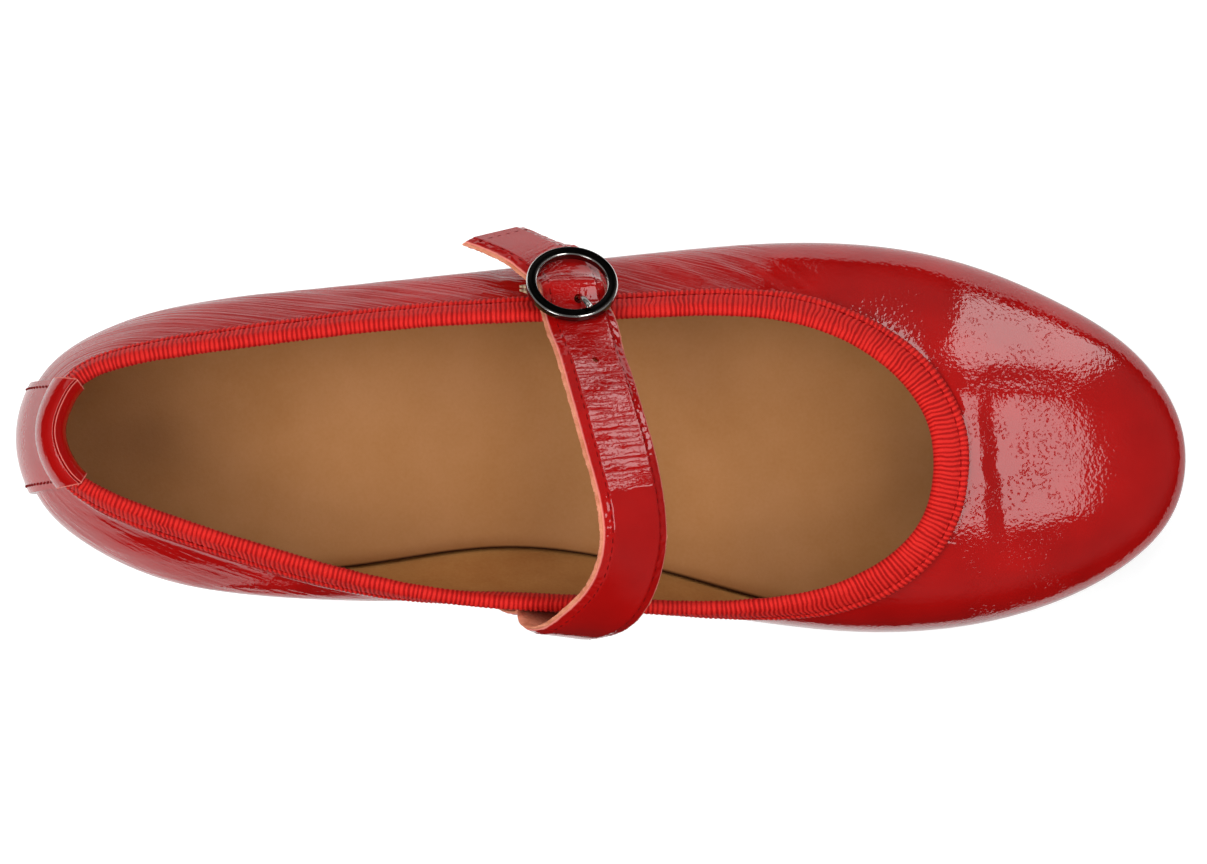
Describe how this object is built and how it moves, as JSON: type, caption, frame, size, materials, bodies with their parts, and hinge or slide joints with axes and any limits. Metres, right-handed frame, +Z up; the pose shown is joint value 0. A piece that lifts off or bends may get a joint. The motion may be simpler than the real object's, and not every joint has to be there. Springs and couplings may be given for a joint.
{
  "type": "ballet flat",
  "caption": "Left patent ballet flat: round toe, ribbon-bound collar, instep strap with a round buckle on elastic, low heel block and thin sole.",
  "frame": {"origin": "on the floor under the middle of the heel, at the heel_rest mount", "axes": "+X from heel to toe, +Y to the outer (lateral, buckle) side, +Z up"},
  "size_m": [0.2555, 0.0907, 0.0704],
  "materials": {
    "patent_leather": "high-gloss patent, red, finely pebbled, with a tan lining",
    "strap_leather": "high-gloss patent, red, with raw tan edges",
    "grosgrain": "matt ribbed ribbon, bright red",
    "footbed_leather": "matt tan, fine grain",
    "rubber": "matt dark brown",
    "gunmetal": "polished dark nickel",
    "elastic": "matt beige webbing"
  },
  "bodies": {
    "root": {"outsole": "rubber", "heel": "rubber", "insole": "footbed_leather", "upper": "patent_leather", "collar_binding": "grosgrain", "backstay": "patent_leather", "heel_tab": "patent_leather", "strap": "strap_leather", "buckle_frame": "gunmetal", "buckle_prong": "gunmetal", "buckle_elastic": "elastic"}
  },
  "joints": []
}
